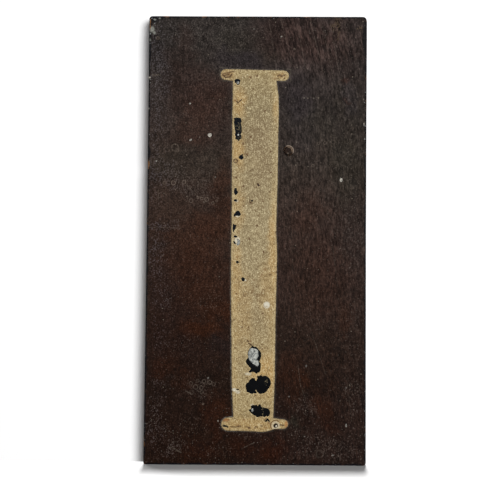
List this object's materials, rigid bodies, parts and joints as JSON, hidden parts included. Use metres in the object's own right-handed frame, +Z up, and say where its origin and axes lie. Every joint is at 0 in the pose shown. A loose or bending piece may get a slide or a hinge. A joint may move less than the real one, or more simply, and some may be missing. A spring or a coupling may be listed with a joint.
{
  "type": "wooden numeral tile",
  "caption": "Tall thin wooden tile, painted dark, with a worn cream serifed numeral one flaked to older paint beneath.",
  "frame": {"origin": "on the surface the tile stands on, midway across its foot and midway through its depth", "axes": "+Z up the board's length, -Y out of the painted face, +X to the right as the numeral is read"},
  "size_m": [0.1514, 0.0128, 0.3052],
  "materials": {
    "timber": "bare, aged and handled, open grain",
    "old_paint": "flat off-white oil paint, aged",
    "ground_paint": "thin dark oil paint, worn satin",
    "cream_paint": "brushed cream oil paint, yellowed and flaked",
    "nail_iron": "painted over, rusty where the paint broke"
  },
  "bodies": {
    "root": {"board": "timber", "old_numeral": "old_paint", "ground_coat": "ground_paint", "cream_numeral": "cream_paint", "upper_nail": "nail_iron", "lower_nail": "nail_iron"}
  },
  "joints": []
}
